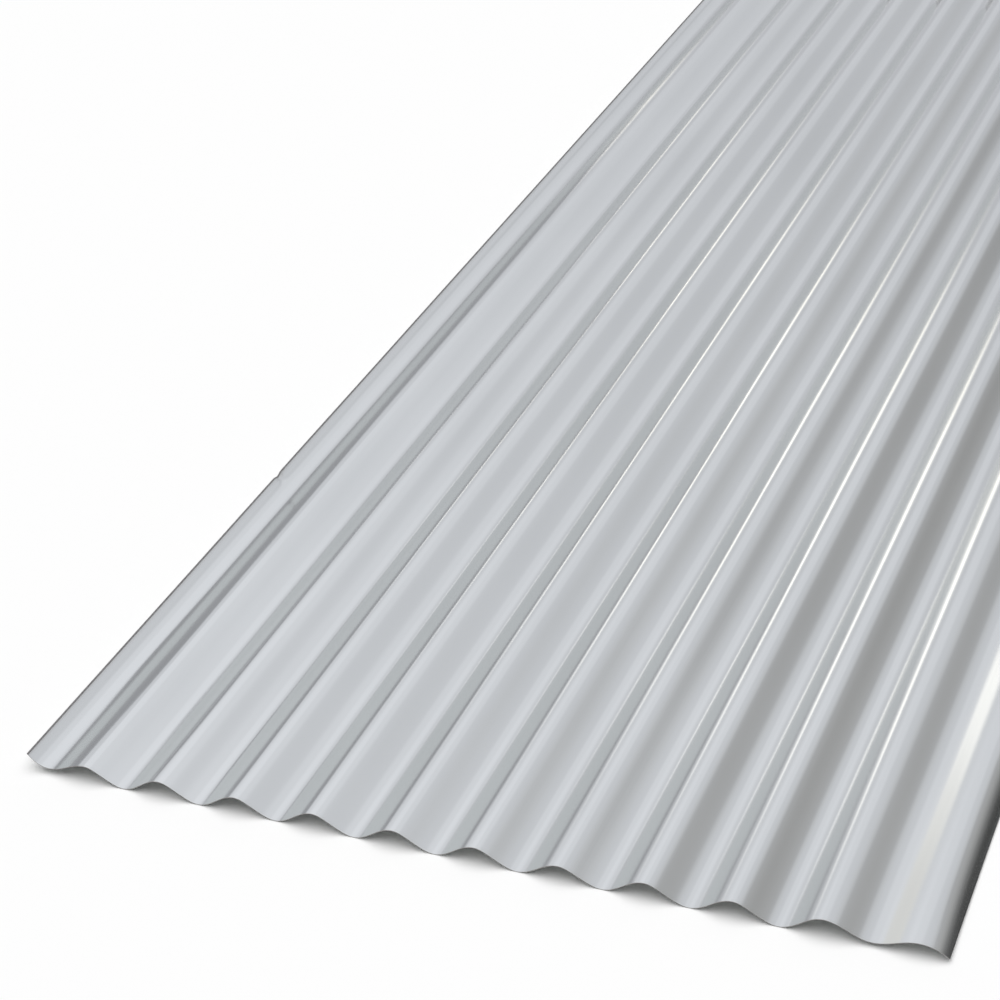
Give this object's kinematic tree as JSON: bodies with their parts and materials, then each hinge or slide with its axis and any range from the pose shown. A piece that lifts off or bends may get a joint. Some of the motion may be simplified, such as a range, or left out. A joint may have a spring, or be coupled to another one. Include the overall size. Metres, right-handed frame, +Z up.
{
  "type": "corrugated metal sheet",
  "caption": "Long rectangular sheet of galvanised steel rolled into even parallel waves, one side edge turned up and the other down, for roofing, cladding and fencing.",
  "frame": {"origin": "on the floor under the middle of the sheet's width and length", "axes": "+Y along the corrugations, away from the end nearer the camera; +Z up; +X across the waves, from the upturned edge to the downturned one"},
  "size_m": [0.8488, 2.1336, 0.0185],
  "materials": {
    "zinc_coated_steel": "semi-gloss zinc coating"
  },
  "bodies": {
    "root": {"corrugated_sheet": "zinc_coated_steel"}
  },
  "joints": []
}
